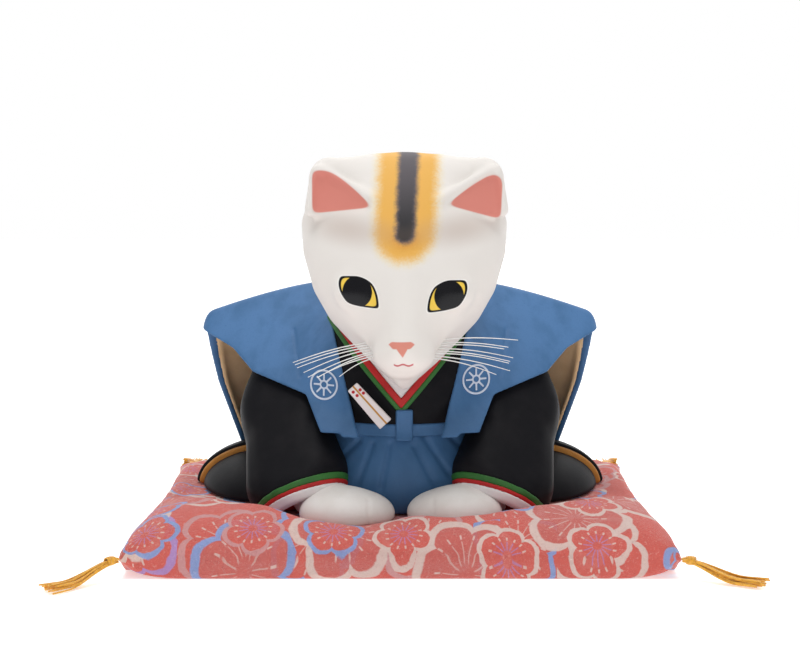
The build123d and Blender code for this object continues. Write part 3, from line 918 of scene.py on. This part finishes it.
def cushion_points(count):
    """Top and bottom cloth, laid out by distance along the cloth from the seam."""
    flat = HALF - ROLL_RUN + ROLL_ARC
    line = np.linspace(-1, 1, count)
    line = np.sign(line) * (1 - (1 - np.abs(line)) ** 1.15) * flat
    u, v = np.meshgrid(line, line, indexing="ij")

    def roll(a):
        turn = np.clip((flat - np.abs(a)) / ROLL_ARC, 0, 1) * math.pi / 2
        beyond = np.maximum(flat - np.abs(a) - ROLL_ARC, 0)
        return np.sign(a) * (HALF - ROLL_RUN * (1 - np.cos(turn)) - beyond), np.sin(turn)
    x, lift_x = roll(u)
    y, lift_y = roll(v)
    lift = lift_x * lift_y
    pull_x = 1 - SIDE_PULL / HALF * (1 - (y / HALF) ** 2)
    pull_y = 1 - SIDE_PULL / HALF * (1 - (x / HALF) ** 2)
    x, y = x * pull_x, y * pull_y
    wave = (np.sin(x * 0.11 + 1.3) * np.sin(y * 0.09 + 0.4) + 0.6 * np.sin(x * 0.23 - y * 0.17)
            + 0.4 * np.sin(x * 0.41 + y * 0.37 + 2.0))
    edge = np.minimum(flat - np.abs(u), flat - np.abs(v))
    along = np.where(np.abs(u) > np.abs(v), v, u)
    pucker = np.sin(along * 0.62 + wave) * np.exp(-edge / 7.0) * step_up(edge, 0, 2)
    back = 1 - 0.62 * step_up(y, 15, 80)
    seam = SEAM - SEAM_DROP * step_up(y, 10, HALF)
    rise = (ROLL_RISE + SEAM - seam) * back * lift ** 0.8
    top = seam + rise + wave * 0.35 * lift + pucker * 0.45
    top = top - 3.4 * np.exp(-((x + 14) / 17) ** 2 - ((y + 74) / 13) ** 2) * lift
    top = top + (SEAT - top) * pressed(x, y) * step_up(lift, 0.0, 0.5)
    corner = np.maximum(lift_x, lift_y)
    under = np.minimum(lift * 3.5, 1) ** 0.55 * corner ** 0.8
    bottom = seam * (1 - under) + pucker * 0.2 * (lift < 0.25)
    out = 1 + UNDER_BULGE / HALF * step_up(under, 0, 0.9) * (1 - step_up(lift, 0.3, 0.9))
    return u, v, (x, y, top), (x * (1 + (out - 1) * (1 - (y / HALF) ** 2)),
                               y * (1 + (out - 1) * (1 - (x / HALF) ** 2)), np.maximum(bottom, 0.0))


FULL_TURN = 6.283


def flowers(paint, uv, cell, radius, shift, thickness):
    """Masks and a random number for five-petalled outlines, one to a cell."""
    tree = paint.tree
    moved = tree.nodes.new("ShaderNodeVectorMath")
    moved.operation = "ADD"
    moved.inputs[1].default_value = (*shift, 0)
    tree.links.new(uv, moved.inputs[0])
    cells = tree.nodes.new("ShaderNodeTexVoronoi")
    cells.voronoi_dimensions = "2D"
    cells.inputs["Scale"].default_value = 1 / cell
    cells.inputs["Randomness"].default_value = 0.55
    tree.links.new(moved.outputs[0], cells.inputs["Vector"])
    away = tree.nodes.new("ShaderNodeVectorMath")
    away.operation = "SUBTRACT"
    tree.links.new(moved.outputs[0], away.inputs[0])
    tree.links.new(cells.outputs["Position"], away.inputs[1])
    parts = tree.nodes.new("ShaderNodeSeparateXYZ")
    tree.links.new(away.outputs[0], parts.inputs[0])
    colors = tree.nodes.new("ShaderNodeSeparateColor")
    tree.links.new(cells.outputs["Color"], colors.inputs[0])
    px, py = Value(tree, parts.outputs[0]), Value(tree, parts.outputs[1])
    chance, turn = Value(tree, colors.outputs[0]), Value(tree, colors.outputs[1])
    away_by = (px * px + py * py).root()
    angle = py.math("ARCTAN2", px) + turn * FULL_TURN
    lobe = (angle * 2.5).math("COSINE").size().power(0.7)
    reach = lobe * (0.27 * radius) + 0.76 * radius
    wobble = (paint.noise(0.45, 2.0) - 0.5) * 1.0
    ring = (away_by - reach + wobble).size().ramp(thickness * 0.75, thickness * 1.15).inverse()
    within = (away_by - reach).ramp(-0.5, 0.5).inverse()
    ray = (angle * 7.0).math("SINE").size() * away_by
    stem = ray.ramp(1.0, 1.7).inverse() * away_by.ramp(radius * 0.14, radius * 0.2)
    stem = stem * away_by.ramp(radius * 0.46, radius * 0.52).inverse()
    dot = ray.ramp(1.6, 2.6).inverse() * away_by.ramp(radius * 0.52, radius * 0.56)
    dot = dot * away_by.ramp(radius * 0.64, radius * 0.68).inverse()
    return ring, within, stem, dot, chance


def tone(paint, chance, stops):
    node = paint.tree.nodes.new("ShaderNodeValToRGB")
    node.color_ramp.interpolation = "CONSTANT"
    while len(node.color_ramp.elements) < len(stops):
        node.color_ramp.elements.new(0.5)
    for element, (position, color) in zip(node.color_ramp.elements, stops):
        element.position = position
        element.color = (*color, 1)
    paint.tree.links.new(chance.socket, node.inputs[0])
    return node.outputs[0]


def crepe():
    """Coral crepe printed with overlapping five-petalled blossoms."""
    coral = (0.76, 0.145, 0.115)
    paint = Paint("blossom_crepe", coral, 0.85, 0.15)
    paint.shader.inputs["Sheen Weight"].default_value = 0.35
    paint.shader.inputs["Sheen Roughness"].default_value = 0.5
    map_node = paint.tree.nodes.new("ShaderNodeUVMap")
    map_node.uv_map = "cloth"
    scaled = paint.tree.nodes.new("ShaderNodeVectorMath")
    scaled.operation = "SCALE"
    scaled.inputs["Scale"].default_value = 1000.0
    paint.tree.links.new(map_node.outputs[0], scaled.inputs[0])
    uv = scaled.outputs[0]
    cream, pink = (0.85, 0.66, 0.60), (0.72, 0.36, 0.36)
    blue, lilac = (0.27, 0.42, 0.78), (0.50, 0.32, 0.68)
    stops = [(0.0, cream), (0.38, blue), (0.56, pink), (0.78, lilac), (0.9, cream)]
    # size of a cell, radius of its blossom, shift of the cells, thickness of the outline
    layers = [(33.0, 14.5, (3.0, 8.0), 1.1), (38.0, 16.0, (21.0, 27.0), 1.5),
              (30.0, 9.5, (60.0, 11.0), 0.8)]
    for index, (cell, radius, shift, thickness) in enumerate(layers):
        ring, within, stem, dot, chance = flowers(paint, uv, cell, radius, shift, thickness)
        paint.over((0.70, 0.165, 0.14) if index % 2 else coral, within * 0.92)
        color = tone(paint, chance, stops)
        paint.over(color, ring * 0.92)
        paint.over(cream if index != 2 else lilac, stem * 0.55)
        paint.over(cream, dot * 0.8)
    grain = paint.noise(1.25, 3.0, 0.6, distortion=1.2)
    paint.over((0.40, 0.04, 0.04), grain.ramp(0.56, 0.72) * 0.22)
    paint.over((1.0, 0.82, 0.78), grain.ramp(0.30, 0.44).inverse() * 0.22)
    paint.height = grain * 1.3 + paint.noise(2.6, 2.0, 0.5) * 0.5
    return paint.done(0.85, 0.8)


def make_cushion():
    count = 260
    u, v, top, bottom = cushion_points(count)
    points = np.concatenate([np.stack(side, -1).reshape(-1, 3) for side in (top, bottom)]) * MM
    index = np.arange(count * count).reshape(count, count)
    a, b, c, d = index[:-1, :-1], index[1:, :-1], index[1:, 1:], index[:-1, 1:]
    upper = np.stack([a, b, c, d], -1).reshape(-1, 4)
    lower = upper[:, ::-1] + count * count
    obj = mesh_object("cushion_cloth", points, np.concatenate([upper, lower]), crepe())
    cloth = obj.data.uv_layers.new(name="cloth")
    flat = np.stack([u, v], -1).reshape(-1, 2) * MM
    edge = np.abs(flat).max()
    folded = np.sign(flat) * (2 * edge - np.abs(flat))
    nearest = np.abs(flat) >= np.abs(flat[:, ::-1])
    under = np.where(nearest, folded, flat)
    both = np.concatenate([flat, under])
    loops = np.zeros(len(obj.data.loops), dtype=np.int32)
    obj.data.loops.foreach_get("vertex_index", loops)
    cloth.data.foreach_set("uv", both[loops].astype(np.float32).ravel())
    bm = bmesh.new()
    bm.from_mesh(obj.data)
    rim = [vert for vert in bm.verts if vert.is_boundary]
    bmesh.ops.remove_doubles(bm, verts=rim, dist=0.02 * MM)
    bm.to_mesh(obj.data)
    bm.free()
    finish_piece(obj, ("cushion_cover", "cushion_filling"), "cushion")


# ---- the tassels -------------------------------------------------------------------

# the way each tassel points, in degrees from the x axis
TASSELS = {"front_left": 223.0, "front_right": 337.0, "back_left": 84.0, "back_right": 96.0}
STRANDS = 26
STRAND_STEPS = 12
WIND_STEPS = 90
WIND_TURNS = 6
LOOP_STEPS = 16


def gold_thread():
    paint = Paint("gold_thread", (0.86, 0.44, 0.025), 0.45, 0.5)
    paint.shader.inputs["Sheen Weight"].default_value = 0.4
    paint.over((0.55, 0.22, 0.01), paint.noise(0.9, 2.0).ramp(0.42, 0.7) * 0.6)
    paint.height = paint.noise(3.0, 2.0, 0.5, (1, 1, 3))
    return paint.done(0.4, 0.15)


def make_tassel(corner, degrees, material):
    x_sign = -1 if "left" in corner else 1
    y_sign = -1 if "front" in corner else 1
    in_from_tip = 2.5 if y_sign > 0 else 0.0
    tip = np.array([x_sign * (HALF + 0.4 - in_from_tip), y_sign * (HALF + 0.4), SEAM - in_from_tip])
    turn = math.radians(degrees)
    along = np.array([math.cos(turn), math.sin(turn), 0])
    aside = np.array([-along[1], along[0], 0])
    up = np.array([0, 0, 1.0])
    lines = []
    # the binding wound round the neck of the tassel
    wind = []
    for step in range(WIND_STEPS):
        share = step / WIND_STEPS
        angle = share * WIND_TURNS * 2 * math.pi
        run = 1.0 + share * 3.4
        wide = 1.05 + 0.25 * math.sin(share * math.pi)
        wind.append(tip + along * run + (aside * math.cos(angle) + up * math.sin(angle)) * wide)
    lines.append(wind)
    for _ in range(STRANDS):
        spread = random.uniform(-1, 1)
        lift = random.uniform(0, 1)
        length = random.uniform(24.5, 28.0)
        phase = random.uniform(0, 6.28)         # any point of the sway's cycle
        line = []
        for step in range(STRAND_STEPS + 1):
            share = step / STRAND_STEPS
            run = length * share
            sway = spread * (0.7 + 3.6 * share ** 1.3) + 0.35 * math.sin(share * 7 + phase)
            start_z = SEAM + (lift - 0.5) * 1.2
            rest_z = 0.45 + lift * 2.6 * (1 - 0.2 * share)
            drop = step_up(np.array(share), 0.0, 0.75)
            z = start_z + (rest_z - start_z) * float(drop)
            place = tip + along * run + aside * sway
            line.append((place[0], place[1], max(z, 0.4)))
        lines.append(line)
    # the loop that the tassel hangs from, sewn into the corner
    loop = []
    for step in range(LOOP_STEPS + 1):
        angle = step / LOOP_STEPS * 2 * math.pi
        loop.append(tip + along * (-0.6 + 1.7 * (1 - math.cos(angle))) * 0.8
                    + aside * 1.5 * math.sin(angle) + up * 0.35)
    lines.append(loop)
    obj = thread("tassel_threads_" + corner, lines, 0.3, material)
    finish_piece(obj, ("tassel_" + corner,), "cushion")


# ---- stage -------------------------------------------------------------------------

def make_stage():
    paint = Paint("pale_floor", (0.93, 0.93, 0.93), 0.9, 0.1)
    paint.shader.inputs["Emission Color"].default_value = (1, 1, 1, 1)
    paint.shader.inputs["Emission Strength"].default_value = 0.42
    bpy.ops.mesh.primitive_plane_add(size=8, location=(0, 1, -0.0002))
    floor = bpy.context.object
    floor.name = "studio_floor"
    floor.data.materials.append(paint.done())
    glow = bpy.data.materials.new("lit_backdrop")
    glow.use_nodes = True
    shader = glow.node_tree.nodes["Principled BSDF"]
    shader.inputs["Base Color"].default_value = (0, 0, 0, 1)
    shader.inputs["Specular IOR Level"].default_value = 0.0
    shader.inputs["Emission Color"].default_value = (1, 1, 1, 1)
    shader.inputs["Emission Strength"].default_value = 1.0
    bpy.ops.mesh.primitive_plane_add(size=8, location=(0, 1.6, 3.0),
                                     rotation=(math.radians(90), 0, 0))
    backdrop = bpy.context.object
    backdrop.name = "studio_backdrop"
    backdrop.data.materials.append(glow)


def area_light(name, place, target, size, power):
    light = bpy.data.lights.new(name, "AREA")
    light.shape = "DISK"
    light.size = size
    light.energy = power
    obj = linked(name, light)
    obj.location = place
    aim = np.array(target) - np.array(place)
    obj.rotation_euler = Vector(aim).to_track_quat("-Z", "Y").to_euler()


CAMERA_PLACE = (0, -0.730, 0.153)
CAMERA_DOWN = 6.2                      # degrees below level
CAMERA_LENS = 89.6


def make_camera_and_light():
    camera = bpy.data.cameras.new("camera")
    camera.sensor_width = 36.0
    camera.lens = CAMERA_LENS
    camera.clip_end = 100
    obj = linked("camera", camera)
    obj.location = CAMERA_PLACE
    obj.rotation_euler = (math.radians(90 - CAMERA_DOWN), 0, 0)
    bpy.context.scene.camera = obj
    area_light("overhead", (-0.05, -0.15, 1.1), (0, 0, 0.05), 0.8, 6.4)
    area_light("behind", (0.0, 1.2, 0.9), (0, 0.5, 0.0), 1.2, 4.0)
    area_light("front_fill", (0.2, -1.3, 0.5), (0, 0, 0.06), 0.9, 2.0)
    world = bpy.data.worlds.new("studio")
    bpy.context.scene.world = world
    world.use_nodes = True
    background = world.node_tree.nodes["Background"]
    background.inputs[0].default_value = (1, 1, 1, 1)
    background.inputs[1].default_value = 0.35
    bpy.context.scene.view_settings.view_transform = "Standard"


make_figure()
make_fan()
make_whiskers()
make_cushion()
gold = gold_thread()
for tassel_corner, tassel_degrees in TASSELS.items():
    make_tassel(tassel_corner, tassel_degrees, gold)
make_stage()
make_camera_and_light()
